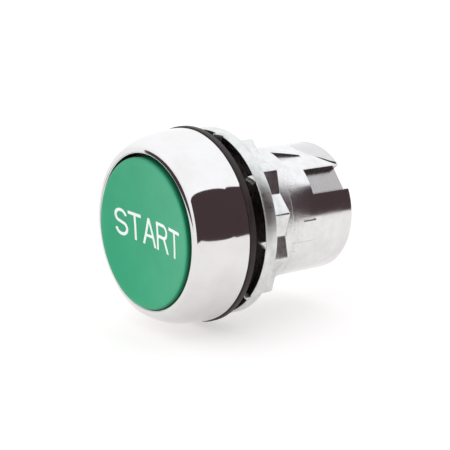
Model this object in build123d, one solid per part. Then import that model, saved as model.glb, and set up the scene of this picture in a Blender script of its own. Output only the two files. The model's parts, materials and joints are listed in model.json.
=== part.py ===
from build123d import *
import os
from math import cos, pi, radians, sin, sqrt, tan

# Industrial push button head for a 22 mm panel hole.
# Frame: millimetres. The axis of the button is Y. Y = 0 is the front plane of the panel, X is to the right
# and Z is up when the button is seen from the front, which faces -Y. The rear is +Y.

# ---------------------------------------------------------------- driving dimensions
GASKET_T = 1.5          # gasket thickness, so the bezel's back lies at -GASKET_T
BEZEL_DEPTH = 8.22      # bezel lip to bezel back
BEZEL_R = 14.58         # largest radius, at the back
BEZEL_SHOULDER_R = 14.41
BEZEL_SHOULDER_Y = 2.59  # from the back to where the rounding begins
LIP_R = 11.57           # opening for the cap
LIP_OUTER_R = 12.38
LIP_ROUND = 0.25
NECK_R = 10.95          # plain neck that stands in the panel hole
THREAD_R = 10.9         # M22 crest
THREAD_PITCH = 1.5
THREAD_DEPTH = 0.6
SLEEVE_R = 10.15        # plain rear sleeve, a little under the thread's core
BARREL_END = 22.35
SEAM_ANGLE = 52         # seam of the barrel's turned faces, away from its slots and pockets
THREAD_END = 9.9
BORE_R = 8.2
CAP_R = 11.28
CAP_PROUD = 0.4         # face rim ahead of the bezel lip
CAP_DEPTH = 3.6
CAP_SKIRT_IN = 9.7
CAP_EDGE = 0.35         # rounding of the face's rim
CAP_DROP = 0.22         # the cap hangs this far below the axis, in its loose opening
DISH_R = 10.7           # rim radius of the dished face
DISH_DEPTH = 1.15
LETTER_H = 4.08         # legend, drawn with plain strokes
STROKE = 0.44
LETTER_GAP = 0.23
LEAN = 0.13             # how far a stroke leans back, for each unit of its height
LEGEND_TILT = -3.6
LEGEND_X = 0.5
LEGEND_Z = 0.22
LEGEND_DEPTH = 0.35
NUT_FRONT = 1.73        # rest place of the nut's flange
NUT_FLANGE_R = 14.23
NUT_FLANGE_T = 2.1
NUT_LENGTH = 5.6
NUT_POINT_R = 13.3      # twelve-point rear, across the points
NUT_POINTS = 12
NUT_PHASE = 12.0
TEETH = 9
TOOTH_HEIGHT = 1.0
TOOTH_ANGLE = 4.6
TOOTH_PHASE = -4.0
STEM_R = 3.5
STEM_FLATS = 5.8        # across the two flats that stop the stem turning
FIT = 0.05              # running fit, radial
PRESS_GAP = 0.02        # pieces seated in each other, radial

BEZEL_BACK = -GASKET_T
BEZEL_FRONT = BEZEL_BACK - BEZEL_DEPTH
CAP_FRONT = BEZEL_FRONT - CAP_PROUD

# barrel head, seated in the back of the bezel
HEAD_R = 13.3
HEAD_FRONT = -7.6
WELL_R = 11.7
WELL_FLOOR = -2.4
SHOULDER_R = 7.7        # opening in the well floor, which the diaphragm passes
NECK_END = 1.3
BOSS_R = 11.4           # boss inside the gasket

# plunger and what is on it
PLATE_FRONT = -8.3
PLATE_T = 1.1
PLATE_R = 9.2
COLLAR_R = 4.5
WEB_FRONT = -7.2        # diaphragm web
WEB_T = 0.6
SEAT_T = 0.5
WIRE_D = 0.9
COIL_R = 5.55
COIL_TURNS = 6.5
GUIDE_FRONT = -0.1
GUIDE_REAR = 8.0
GUIDE_FLOOR = 6.5
GUIDE_CUP_R = 6.6
BUSH_R = 4.6
CLAMP_T = 0.6
CLIP_T = 0.8
STOP_T = 0.8
FOOT_FRONT = 18.4
FOOT_T = 2.0
FOOT_R = 6.6


def turned(*points):
    """A full turn of a closed outline, given as (radius, y) points."""
    return revolve(make_face(Polyline(*points, close=True)), Axis.Y, 360)


def disc(radius, y0, y1):
    return turned((0, y0), (radius, y0), (radius, y1), (0, y1))


def ring(inner, outer, y0, y1):
    return turned((inner, y0), (outer, y0), (outer, y1), (inner, y1))


def ring_chamfered(inner, outer, y0, y1, chamfer_size):
    c = chamfer_size
    return turned((inner, y0), (outer - c, y0), (outer, y0 + c), (outer, y1 - c), (outer - c, y1), (inner, y1))


def block(x0, x1, y0, y1, z0, z1):
    centre = ((x0 + x1) / 2, (y0 + y1) / 2, (z0 + z1) / 2)
    return Pos(*centre) * Box(x1 - x0, y1 - y0, z1 - z0)


def about_axis(shape, angle):
    """The shape turned about the button's axis, from +X towards +Z."""
    return Rot(0, -angle, 0) * shape


def dropped(shape):
    """The shape moved down with the cap, which hangs low in its opening."""
    return Pos(0, 0, -CAP_DROP) * shape


def bezel_ring():
    """Front ring: rounded shoulder outside, a bore for the cap and a seat for the barrel head behind it."""
    f, b = BEZEL_FRONT, BEZEL_BACK
    ease = 0.445            # how full the rounded shoulder is
    grow = BEZEL_SHOULDER_R - LIP_OUTER_R
    run = BEZEL_DEPTH - BEZEL_SHOULDER_Y
    shoulder = Bezier(
        (LIP_OUTER_R, f),
        (LIP_OUTER_R + ease * grow, f),
        (BEZEL_SHOULDER_R, b - BEZEL_SHOULDER_Y - ease * run),
        (BEZEL_SHOULDER_R, b - BEZEL_SHOULDER_Y),
    )
    back = Polyline(
        (BEZEL_SHOULDER_R, b - BEZEL_SHOULDER_Y),
        (BEZEL_R, b - LIP_ROUND),
        (BEZEL_R - LIP_ROUND, b),
        (HEAD_R + PRESS_GAP, b),
        (HEAD_R + PRESS_GAP, HEAD_FRONT),
        (LIP_R, HEAD_FRONT),
        (LIP_R, f + LIP_ROUND),
    )
    corner = 1 - cos(pi / 4)
    lip = ThreePointArc(
        (LIP_R, f + LIP_ROUND),
        (LIP_R + corner * LIP_ROUND, f + corner * LIP_ROUND),
        (LIP_R + LIP_ROUND, f),
    )
    front = Line((LIP_R + LIP_ROUND, f), (LIP_OUTER_R, f))
    return revolve(make_face(Curve() + [shoulder, back, lip, front]), Axis.Y, 360)


def bezel_seal():
    """O-ring in the groove of the barrel head's front face."""
    section = Pos((WELL_R + HEAD_R) / 2, HEAD_FRONT + 0.4) * Circle(0.38)
    return revolve(section, Axis.Y, 360)


def thread_outline():
    """Crests and roots of the thread as separate rings, from the neck to the end of the thread."""
    points, y = [], NECK_END
    root = THREAD_R - THREAD_DEPTH
    flank = THREAD_DEPTH * tan(radians(30))
    while y + THREAD_PITCH < THREAD_END:
        points += [(THREAD_R, y), (root, y + flank), (root, y + flank + 0.4), (THREAD_R, y + 2 * flank + 0.4)]
        y += THREAD_PITCH
    return points


def barrel():
    """Die-cast body: head cup, neck, thread and plain sleeve with the coupling features at its rear."""
    end_round = 0.3
    outline = (
        (SHOULDER_R, WELL_FLOOR),
        (WELL_R, WELL_FLOOR),
        (WELL_R, HEAD_FRONT),
        (HEAD_R, HEAD_FRONT),
        (HEAD_R, BEZEL_BACK),
        (BOSS_R, BEZEL_BACK),
        (BOSS_R, -FIT),
        (NECK_R, -FIT),
        (NECK_R, NECK_END),
        *thread_outline(),
        (THREAD_R, THREAD_END - 0.3),
        (THREAD_R - 0.3, THREAD_END),
        (SLEEVE_R, THREAD_END),
        (SLEEVE_R, BARREL_END - end_round),
        (SLEEVE_R - end_round, BARREL_END),
        (BORE_R + end_round, BARREL_END),
        (BORE_R, BARREL_END - end_round),
        (BORE_R, BEZEL_BACK),
        (SHOULDER_R, BEZEL_BACK),
    )
    tube = about_axis(turned(*outline), SEAM_ANGLE)
    seal_groove = ring((WELL_R + HEAD_R) / 2 - 0.4, (WELL_R + HEAD_R) / 2 + 0.4, HEAD_FRONT - 1, HEAD_FRONT + 0.8)
    circlip_groove = ring(BORE_R - 1, BORE_R + 0.5, GUIDE_REAR, GUIDE_REAR + 1.0)
    tube = tube - seal_groove - circlip_groove
    for angle in (38, 218):
        tube -= about_axis(coupling_slot(), angle)
        tube -= about_axis(ramp_pocket(), angle + 30)
    tube -= about_axis(slanted_groove(), 79)
    tube -= about_axis(index_nick(), 2.6)
    return tube


def coupling_slot():
    """Slot open at the rear end, with a flat floor and parallel walls, centred on +X."""
    floor, slot_front, width = 8.6, 14.9, 3.5
    return block(floor, 12, slot_front, BARREL_END + 1, -width / 2, width / 2)


def ramp_pocket():
    """Wedge-shaped pocket, deep at its upper edge and level with the sleeve at its lower, centred on +X."""
    low_y, high_y, lower, upper, upper_rear, depth = 12.1, 16.4, -1.75, 1.45, -0.4, 0.5
    plan = Polyline((low_y, lower), (low_y, upper), (high_y, upper_rear), (high_y, lower), close=True)
    prism = Pos(SLEEVE_R - 2, 0, 0) * Rot(0, 90, 0) * Rot(0, 0, 90) * extrude(make_face(plan), 4)
    lower_x = sqrt(SLEEVE_R ** 2 - lower ** 2)
    upper_x = sqrt(SLEEVE_R ** 2 - upper ** 2) - depth
    slope = (upper_x - lower_x) / (upper - lower)
    ramp = Polyline(
        (lower_x - 0.01, lower),
        (upper_x + 0.05 * slope, upper + 0.05),
        (SLEEVE_R + 2, upper + 0.05),
        (SLEEVE_R + 2, lower),
        close=True,
    )
    above = Pos(0, high_y + 1, 0) * Rot(90, 0, 0) * extrude(make_face(ramp), high_y - low_y + 2)
    return prism & above


def slanted_groove():
    """Shallow groove where a slanted plane meets the sleeve, centred on +X."""
    start, slope, width, depth = 17.2, 0.31, 0.16, 0.2
    rear = BARREL_END + 1
    drop = slope * (rear - start)
    slab = Polyline(
        (SLEEVE_R + 0.1, start - 0.1 / slope),
        (SLEEVE_R - drop, rear),
        (SLEEVE_R - drop + width, rear),
        (SLEEVE_R + 0.1 + width, start - 0.1 / slope),
        close=True,
    )
    skin = ring(SLEEVE_R - depth, SLEEVE_R + 1, start - 1, rear + 1)
    return extrude(make_face(slab), 9, both=True) & skin


def index_nick():
    """Short slit along the sleeve that marks its index side, centred on +X."""
    return block(SLEEVE_R - 0.3, SLEEVE_R + 1, 12.4, 14.8, -0.17, 0.17)


def panel_gasket():
    """Rubber ring: an outer lip under the bezel and a smaller rear step that meets the panel."""
    lip_r, step_r, lip_t = 14.78, 13.7, 0.95
    inner = BOSS_R + PRESS_GAP
    return turned(
        (inner, BEZEL_BACK),
        (lip_r - 0.2, BEZEL_BACK),
        (lip_r, BEZEL_BACK + 0.2),
        (lip_r, BEZEL_BACK + lip_t - 0.2),
        (lip_r - 0.2, BEZEL_BACK + lip_t),
        (step_r, BEZEL_BACK + lip_t),
        (step_r, 0),
        (inner, 0),
    )


def twelve_points(radius, y0, y1):
    """Prism on the axis whose outline is two hexagons, thirty degrees apart."""
    valley = radius * cos(radians(30)) / cos(radians(15))
    step = 360 / NUT_POINTS
    points = []
    for n in range(NUT_POINTS):
        peak = radians(NUT_PHASE + n * step)
        dip = radians(NUT_PHASE + (n + 0.5) * step)
        points += [(radius * cos(peak), radius * sin(peak)), (valley * cos(dip), valley * sin(dip))]
    outline = make_face(Polyline(*points, close=True))
    return Pos(0, y1, 0) * Rot(90, 0, 0) * extrude(outline, y1 - y0)


def nut_tooth():
    """Ratchet tooth on the front of the flange, its steep side towards larger angles."""
    inner, outer = 12.9, 14.2
    half = radians(TOOTH_ANGLE / 2)
    profile = [
        (NUT_FRONT + 0.2, -half * outer),
        (NUT_FRONT, -half * outer),
        (NUT_FRONT - TOOTH_HEIGHT, half * outer - 0.25),
        (NUT_FRONT - TOOTH_HEIGHT, half * outer),
        (NUT_FRONT + 0.2, half * outer),
    ]
    face = make_face(Polyline(*[(inner, y, z) for y, z in profile], close=True))
    tooth = extrude(face, outer - inner, dir=(1, 0, 0))
    return tooth & ring(inner, outer, NUT_FRONT - 2, NUT_FRONT + 1)


def mounting_nut():
    """One-piece ring nut: flange with teeth in front, twelve-point grip behind, bore clear of the crests."""
    flange = ring_chamfered(0, NUT_FLANGE_R, NUT_FRONT, NUT_FRONT + NUT_FLANGE_T, 0.25)
    nut = flange + twelve_points(NUT_POINT_R, NUT_FRONT + NUT_FLANGE_T - 0.1, NUT_FRONT + NUT_LENGTH)
    for n in range(TEETH):
        nut += about_axis(nut_tooth(), TOOTH_PHASE + n * 360 / TEETH)
    relief = 0.4
    bore = turned(
        (0, NUT_FRONT - 2),
        (THREAD_R + FIT + relief, NUT_FRONT - 2),
        (THREAD_R + FIT + relief, NUT_FRONT),
        (THREAD_R + FIT, NUT_FRONT + relief),
        (THREAD_R + FIT, NUT_FRONT + NUT_LENGTH - relief),
        (THREAD_R + FIT + relief, NUT_FRONT + NUT_LENGTH),
        (THREAD_R + FIT + relief, NUT_FRONT + NUT_LENGTH + 1),
        (0, NUT_FRONT + NUT_LENGTH + 1),
    )
    return nut - bore


def cap_blank():
    """Cap without its legend: dished face, rounded rim, open skirt behind."""
    skirt_in, edge = CAP_SKIRT_IN, CAP_EDGE
    dish_sphere = (DISH_R ** 2 + DISH_DEPTH ** 2) / (2 * DISH_DEPTH)
    mid = DISH_R / 2
    mid_y = CAP_FRONT + DISH_DEPTH - (dish_sphere - sqrt(dish_sphere ** 2 - mid ** 2))
    corner = 1 - cos(pi / 4)
    rear = CAP_FRONT + CAP_DEPTH
    outline = Curve() + [
        ThreePointArc((0, CAP_FRONT + DISH_DEPTH), (mid, mid_y), (DISH_R, CAP_FRONT)),
        Line((DISH_R, CAP_FRONT), (CAP_R - edge, CAP_FRONT)),
        ThreePointArc(
            (CAP_R - edge, CAP_FRONT),
            (CAP_R - corner * edge, CAP_FRONT + corner * edge),
            (CAP_R, CAP_FRONT + edge),
        ),
        Polyline(
            (CAP_R, CAP_FRONT + edge),
            (CAP_R, rear),
            (skirt_in, rear),
            (skirt_in, PLATE_FRONT),
            (0, PLATE_FRONT),
            (0, CAP_FRONT + DISH_DEPTH),
        ),
    ]
    return revolve(make_face(outline), Axis.Y, 360)


def letter_t(w, h):
    return [((0, h), (w, h)), ((w / 2, h), (w / 2, 0))]


def letter_a(w, h):
    rung = 0.34
    return [
        ((0, 0), (w / 2, h)),
        ((w / 2, h), (w, 0)),
        ((w / 2 * rung, h * rung), (w - w / 2 * rung, h * rung)),
    ]


def letter_r(w, h):
    bowl = h * 0.25
    waist = h - 2 * bowl
    turn = w * 0.58
    return [
        ((0, 0), (0, h)),
        ((0, h), (turn, h)),
        ((turn, h), (turn + bowl, h - bowl), (turn, waist)),
        ((turn, waist), (0, waist)),
        ((w * 0.5, waist), (w, 0)),
    ]


def letter_s(w, h):
    turn = h * 0.26
    return [
        ((w * 0.97, h - turn * 1.05), (w * 0.47, h), (w * 0.02, h - turn)),
        ((w * 0.02, h - turn), (w * 0.14, h - 1.6 * turn), (w * 0.5, h / 2)),
        ((w * 0.5, h / 2), (w * 0.88, 1.6 * turn), (w, turn)),
        ((w, turn), (w * 0.53, 0), (0, turn * 1.1)),
    ]


def stroke(points):
    """A straight stroke through two points, or a curved one through three, leaning back."""
    leaning = [(x - LEAN * z, z) for x, z in points]
    line = Line(*leaning) if len(leaning) == 2 else ThreePointArc(*leaning)
    return trace(line, STROKE)


def legend_strokes():
    """The word on the button's face, centred on its middle, as flat stroke outlines."""
    word = [(letter_s, 2.46), (letter_t, 2.66), (letter_a, 3.02), (letter_r, 2.86), (letter_t, 2.66)]
    length = sum(width + STROKE + LETTER_GAP for _, width in word) - LETTER_GAP
    body = LETTER_H - STROKE
    x = (STROKE - length + LEAN * body) / 2
    letters = []
    for letter, width in word:
        strokes = Sketch()
        for points in letter(width, body):
            strokes += stroke(points)
        letters.append(Pos(x, -body / 2) * strokes)
        x += width + STROKE + LETTER_GAP
    return letters


def cap_legend():
    """White inlay, flush with the dished face, one solid for each letter."""
    skin = cap_blank() - Pos(0, LEGEND_DEPTH, 0) * (cap_blank() + disc(CAP_R + 1, -5, 0))
    place = Pos(LEGEND_X, 0, LEGEND_Z) * Rot(0, -LEGEND_TILT, 0) * Rot(90, 0, 0)
    letters = [place * extrude(strokes, -PLATE_FRONT + 3) for strokes in legend_strokes()]
    return [dropped(letter & skin) for letter in letters]


def plunger():
    """Moulded stem with the plate that carries the cap, a collar for the seal, and two flats on the stem."""
    collar_end = WEB_FRONT + WEB_T + 0.3
    stem_end = FOOT_FRONT
    body = turned(
        (0, PLATE_FRONT),
        (PLATE_R - 0.3, PLATE_FRONT),
        (PLATE_R, PLATE_FRONT + 0.3),
        (PLATE_R, PLATE_FRONT + PLATE_T),
        (COLLAR_R, PLATE_FRONT + PLATE_T),
        (COLLAR_R, collar_end),
        (STEM_R, collar_end),
        (STEM_R, stem_end),
        (0, stem_end),
    )
    flats = block(-STEM_FLATS / 2, STEM_FLATS / 2, collar_end, stem_end + 1, -STEM_R - 1, STEM_R + 1)
    body = body & (flats + disc(PLATE_R + 1, PLATE_FRONT - 1, collar_end))
    clip_front = GUIDE_REAR + STOP_T + 2 * FIT
    groove = ring(STEM_R - 0.6, STEM_R + 1, clip_front, clip_front + CLIP_T + FIT)
    screw_hole = disc(1.05, stem_end - 5.5, stem_end + 1)
    return body - groove - screw_hole


def cap_retaining_ring():
    """Open snap ring behind the plunger plate, sprung out into the cap's skirt."""
    front = PLATE_FRONT + PLATE_T + PRESS_GAP
    body = ring(8.3, CAP_SKIRT_IN - 2 * PRESS_GAP, front, front + 0.7)
    return dropped(body - block(0, 12, front - 1, front + 2, -1.2, 1.2))


def diaphragm_seal():
    """Hat-shaped rubber seal: web around the plunger collar, thin wall, bead behind the well shoulder."""
    wall_in, wall_out = 6.75, 7.2
    web_rear = WEB_FRONT + WEB_T
    bead_front = BEZEL_BACK + PRESS_GAP
    bead_rear = GUIDE_FRONT - CLAMP_T - 2 * PRESS_GAP
    return turned(
        (COLLAR_R + PRESS_GAP, WEB_FRONT + PRESS_GAP),
        (wall_out - 0.6, WEB_FRONT + PRESS_GAP),
        (wall_out, WEB_FRONT + 0.6),
        (wall_out, bead_front),
        (BORE_R - FIT, bead_front),
        (BORE_R - FIT, bead_rear),
        (wall_in, bead_rear),
        (wall_in, web_rear + 0.3),
        (wall_in - 0.3, web_rear),
        (COLLAR_R + PRESS_GAP, web_rear),
    )


def diaphragm_clamp_ring():
    return ring_chamfered(6.8, BORE_R - FIT, GUIDE_FRONT - CLAMP_T - PRESS_GAP, GUIDE_FRONT - PRESS_GAP, 0.1)


def spring_seat():
    """Washer on the stem between the seal's web and the return spring."""
    front = WEB_FRONT + WEB_T + 0.32
    return ring(STEM_R + FIT, 6.3, front, front + SEAT_T)


def return_spring():
    """Compression spring from the washer to the floor of the guide, as a round wire helix."""
    start = WEB_FRONT + WEB_T + 0.32 + SEAT_T + WIRE_D / 2 + PRESS_GAP
    end = GUIDE_FLOOR - WIRE_D / 2 - PRESS_GAP
    pitch = (end - start) / COIL_TURNS
    path = Pos(0, start, 0) * Rot(-90, 0, 0) * Helix(pitch, end - start, COIL_R)
    tangent = path % 0
    wire = Plane(origin=path @ 0, z_dir=tangent) * Circle(WIRE_D / 2)
    return sweep(wire, path, is_frenet=True)


def guide_sleeve():
    """Moulded cup in the barrel: it guides the stem through its bush and holds the spring."""
    outer = BORE_R - FIT
    cup = turned(
        (GUIDE_CUP_R, GUIDE_FRONT),
        (outer, GUIDE_FRONT),
        (outer, GUIDE_REAR),
        (BUSH_R, GUIDE_REAR),
        (BUSH_R, GUIDE_FLOOR),
        (GUIDE_CUP_R, GUIDE_FLOOR),
    )
    for angle in (90, 210, 330):
        cup -= about_axis(block(6.9, 12, 1.0, GUIDE_REAR + 1, -0.9, 0.9), angle)
    return cup


def stem_bush():
    """Bearing bush in the guide's floor, with flats that match the stem's."""
    outer = BUSH_R - PRESS_GAP
    body = disc(outer, GUIDE_FLOOR, GUIDE_REAR)
    half = STEM_FLATS / 2 + FIT
    hole = disc(STEM_R + FIT, GUIDE_FLOOR - 1, GUIDE_REAR + 1)
    return body - (hole & block(-half, half, GUIDE_FLOOR - 1, GUIDE_REAR + 1, -5, 5))


def guide_circlip():
    """Internal snap ring in the barrel's groove, behind the guide, with its gap at the bottom."""
    body = ring(7.0, BORE_R + 0.4, GUIDE_REAR + PRESS_GAP, GUIDE_REAR + 0.9)
    for side in (-1, 1):
        lug = Pos(side * 1.9, GUIDE_REAR + 0.46, -7.0) * Rot(90, 0, 0) * Cylinder(1.0, 0.88)
        hole = Pos(side * 1.9, GUIDE_REAR + 0.46, -7.0) * Rot(90, 0, 0) * Cylinder(0.4, 3)
        body = (body + lug) - hole
    return body - block(-0.9, 0.9, GUIDE_REAR - 1, GUIDE_REAR + 2, -12, 0)


def stop_washer():
    """Rubber bump washer between the guide and the clip, carried by the stem."""
    return ring_chamfered(STEM_R + FIT, 5.6, GUIDE_REAR + FIT, GUIDE_REAR + FIT + STOP_T, 0.15)


def plunger_clip():
    """E-clip in the stem's groove."""
    front = GUIDE_REAR + STOP_T + 2 * FIT + PRESS_GAP / 2
    body = ring(STEM_R - 0.6 + PRESS_GAP, 5.2, front, front + CLIP_T)
    body -= block(-2.9 - PRESS_GAP, 2.9 + PRESS_GAP, front - 1, front + 2, -12, 0)
    for angle in (0, 90, 180):
        body -= about_axis(block(4.0, 4.6, front - 1, front + 2, -0.9, 0.9), angle)
    return body


def pusher_foot():
    """Foot at the stem's rear: a lobed disc with a pad each side of its screw for the contact blocks."""
    rear = FOOT_FRONT + FOOT_T
    foot = ring_chamfered(0, FOOT_R, FOOT_FRONT + PRESS_GAP, rear, 0.2)
    foot -= disc(1.35, FOOT_FRONT - 1, rear + 1)
    foot -= disc(2.7, rear - 0.9, rear + 1)
    for angle in (0, 60, 120, 180, 240, 300):
        foot -= about_axis(Pos(FOOT_R + 0.6, rear, 0) * Rot(90, 0, 0) * Cylinder(1.5, 9), angle)
    for side in (-1, 1):
        foot += block(side * 4.3 - 0.8, side * 4.3 + 0.8, rear - 0.3, rear + 0.6, -1.4, 1.4)
    return foot


def lock_washer():
    """Split spring washer under the screw head."""
    floor = FOOT_FRONT + FOOT_T - 0.9
    return ring(1.4, 2.4, floor, floor + 0.4) - block(0, 4, floor - 1, floor + 1, -0.2, 0.2)


def pusher_screw():
    """Pan-head screw with a cross recess that holds the foot to the stem."""
    seat = FOOT_FRONT + FOOT_T - 0.9 + 0.4 + PRESS_GAP / 2
    head_r, head_t, shank_r, shank = 2.3, 1.3, 1.0, 6.2
    head = turned(
        (0, seat),
        (head_r, seat),
        (head_r, seat + head_t * 0.55),
        (head_r * 0.7, seat + head_t),
        (0, seat + head_t),
    )
    screw = head + disc(shank_r, seat - shank, seat + 0.1)
    for angle in (0, 90):
        screw -= about_axis(block(-1.25, 1.25, seat + 0.5, seat + 3, -0.28, 0.28), angle)
    return screw


def button_cap(legend):
    cap = dropped(cap_blank())
    for letter in legend:
        cap -= letter
    return cap.solids()[0]


def main():
    os.makedirs("parts", exist_ok=True)
    legend = cap_legend()
    nodes = {
        "bezel_ring": bezel_ring(),
        "bezel_seal": bezel_seal(),
        "barrel": barrel(),
        "panel_gasket": panel_gasket(),
        "mounting_nut": mounting_nut(),
        "button_cap": button_cap(legend),
        "cap_legend": Compound([solid for letter in legend for solid in letter.solids()]),
        "plunger": plunger(),
        "cap_retaining_ring": cap_retaining_ring(),
        "diaphragm_seal": diaphragm_seal(),
        "diaphragm_clamp_ring": diaphragm_clamp_ring(),
        "guide_sleeve": guide_sleeve(),
        "stem_bush": stem_bush(),
        "guide_circlip": guide_circlip(),
        "return_spring": return_spring(),
        "spring_seat": spring_seat(),
        "stop_washer": stop_washer(),
        "plunger_clip": plunger_clip(),
        "pusher_foot": pusher_foot(),
        "lock_washer": lock_washer(),
        "pusher_screw": pusher_screw(),
    }
    for name, shape in nodes.items():
        export_step(shape, f"parts/{name}.step")


main()
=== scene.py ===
import json
import math

import bmesh
import bpy
import numpy as np
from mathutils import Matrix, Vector
from mathutils.geometry import tessellate_polygon


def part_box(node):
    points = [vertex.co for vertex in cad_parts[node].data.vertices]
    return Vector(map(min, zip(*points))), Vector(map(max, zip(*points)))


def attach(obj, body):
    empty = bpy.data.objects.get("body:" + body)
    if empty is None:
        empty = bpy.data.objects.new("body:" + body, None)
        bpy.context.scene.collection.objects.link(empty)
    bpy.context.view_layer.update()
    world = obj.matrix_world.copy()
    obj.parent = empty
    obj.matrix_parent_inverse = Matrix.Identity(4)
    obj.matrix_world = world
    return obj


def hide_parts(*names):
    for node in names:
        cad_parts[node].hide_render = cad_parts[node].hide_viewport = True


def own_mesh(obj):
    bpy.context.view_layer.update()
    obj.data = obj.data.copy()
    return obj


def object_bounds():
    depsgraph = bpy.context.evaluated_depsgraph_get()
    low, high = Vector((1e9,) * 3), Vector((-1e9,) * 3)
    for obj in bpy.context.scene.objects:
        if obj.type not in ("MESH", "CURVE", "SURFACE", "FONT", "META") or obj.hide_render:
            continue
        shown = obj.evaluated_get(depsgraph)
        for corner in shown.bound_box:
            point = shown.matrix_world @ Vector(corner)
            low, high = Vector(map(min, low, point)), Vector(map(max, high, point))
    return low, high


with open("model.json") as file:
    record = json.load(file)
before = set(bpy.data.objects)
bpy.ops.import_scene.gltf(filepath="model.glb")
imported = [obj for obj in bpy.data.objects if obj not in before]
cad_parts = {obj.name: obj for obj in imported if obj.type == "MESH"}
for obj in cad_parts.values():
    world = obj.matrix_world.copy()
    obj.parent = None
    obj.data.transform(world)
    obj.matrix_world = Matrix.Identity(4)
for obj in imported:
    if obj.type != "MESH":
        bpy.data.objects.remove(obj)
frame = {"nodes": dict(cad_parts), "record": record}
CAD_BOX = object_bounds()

# The button's axis is Y, its face looks along -Y and the rear is +Y. Lengths are in millimetres until a mesh
# is made, and metres from there on. Angles about the axis go from +X towards +Z.
MM = 0.001
TAU = 2 * math.pi


# ------------------------------------------------------------------ sizes, from the frame
def box_mm(node):
    low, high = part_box(node)
    return low / MM, high / MM


BEZEL_LOW, BEZEL_HIGH = box_mm("bezel_ring")
BARREL_LOW, BARREL_HIGH = box_mm("barrel")
GASKET_LOW, GASKET_HIGH = box_mm("panel_gasket")
NUT_LOW, NUT_HIGH = box_mm("mounting_nut")
CAP_LOW, CAP_HIGH = box_mm("button_cap")
SEAL_LOW, SEAL_HIGH = box_mm("diaphragm_seal")
SPRING_LOW, SPRING_HIGH = box_mm("return_spring")
MOUNTS = {mount["name"]: mount for mount in frame["record"]["mounts"]}

SLEEVE_R = MOUNTS["rear_sleeve"]["dims"]["r_mm"]
NECK_R = MOUNTS["panel_neck"]["dims"]["r_mm"]
NECK_END = MOUNTS["panel_neck"]["dims"]["length_mm"]
BARREL_END = BARREL_HIGH.y
THREAD_END = 9.9
LIP_R = 11.57
CAP_R = CAP_HIGH.x
CAP_FRONT = CAP_LOW.y
CAP_Z = (CAP_LOW.z + CAP_HIGH.z) / 2
TOOTH_HEIGHT = 1.0
NUT_FACE = NUT_LOW.y + TOOTH_HEIGHT
NUT_POINT_R = 13.3
GROOVE_AT, GROOVE_START, GROOVE_SLOPE = 79, 17.2, 0.31


# ------------------------------------------------------------------ mesh building
def add_piece(name, verts, faces, body, material, sharp=32, replaced=(), cutters=()):
    """A mesh from millimetre points, less its cutters, with edges sharper than so many degrees kept hard."""
    mesh = bpy.data.meshes.new(name)
    mesh.from_pydata((np.asarray(verts, float) * MM).tolist(), [], faces)
    mesh.validate()
    obj = bpy.data.objects.new(name, mesh)
    bpy.context.scene.collection.objects.link(obj)
    outward(obj)
    if cutters:
        cut(obj, cutters)
    mesh = obj.data
    mesh.polygons.foreach_set("use_smooth", [True] * len(mesh.polygons))
    mesh.set_sharp_from_angle(angle=math.radians(sharp))
    mesh.materials.clear()
    mesh.materials.append(material)
    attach(obj, body)
    if replaced:
        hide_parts(*replaced)
    return obj


def rounded(corners, steps=6):
    """Points of a closed outline whose corners, given as (radius, y, fillet), are rounded."""
    points = []
    for k, (r, y, fillet) in enumerate(corners):
        here = Vector((r, y))
        if fillet <= 0:
            points.append((r, y))
            continue
        before = Vector(corners[k - 1][:2]) - here
        after = Vector(corners[(k + 1) % len(corners)][:2]) - here
        cut = min(fillet, 0.48 * before.length, 0.48 * after.length)
        start, end = here + before.normalized() * cut, here + after.normalized() * cut
        for n in range(steps + 1):
            t = n / steps
            p = start * (1 - t) ** 2 + here * 2 * t * (1 - t) + end * t ** 2
            points.append((p.x, p.y))
    return points


def even_angles(count):
    return np.arange(count) * TAU / count


def grid_faces(rows, columns, closed):
    """Quads of a grid whose columns go round the axis; its rows close on themselves too if closed."""
    faces = []
    for i in range(rows if closed else rows - 1):
        a, b = i * columns, (i + 1) % rows * columns
        for j in range(columns):
            k = (j + 1) % columns
            faces.append((a + j, b + j, b + k, a + k))
    return faces


def around(radii, heights, angles):
    """Points of a grid: radii and heights are arrays of rows by columns, or of rows alone."""
    rows = len(radii)
    shape = (rows, len(angles))
    radii = np.broadcast_to(np.reshape(radii, (rows, -1)), shape)
    heights = np.broadcast_to(np.reshape(heights, (rows, -1)), shape)
    points = np.stack([radii * np.cos(angles), heights, radii * np.sin(angles)], -1)
    return points.reshape(-1, 3)


def lathe(name, outline, body, material, columns=192, sharp=32, replaced=()):
    """A closed outline of (radius, y) points turned about the axis, which it may touch at its two ends."""
    angles = even_angles(columns)
    if outline[0][0] > 1e-6:
        verts = around([p[0] for p in outline], [p[1] for p in outline], angles)
        faces = grid_faces(len(outline), columns, True)
        return add_piece(name, verts, faces, body, material, sharp, replaced)
    inner = outline[1:-1]
    verts = around([p[0] for p in inner], [p[1] for p in inner], angles).tolist()
    faces = grid_faces(len(inner), columns, False)
    for pole, row, flip in ((outline[0], 0, False), (outline[-1], len(inner) - 1, True)):
        verts.append((0, pole[1], 0))
        base = row * columns
        for j in range(columns):
            k = (j + 1) % columns
            tip = len(verts) - 1
            faces.append((tip, base + k, base + j) if flip else (tip, base + j, base + k))
    return add_piece(name, verts, faces, body, material, sharp, replaced)


# ------------------------------------------------------------------ materials
MAP_RANGE_SOCKETS = ("From Min", "From Max", "To Min", "To Max")


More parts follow.
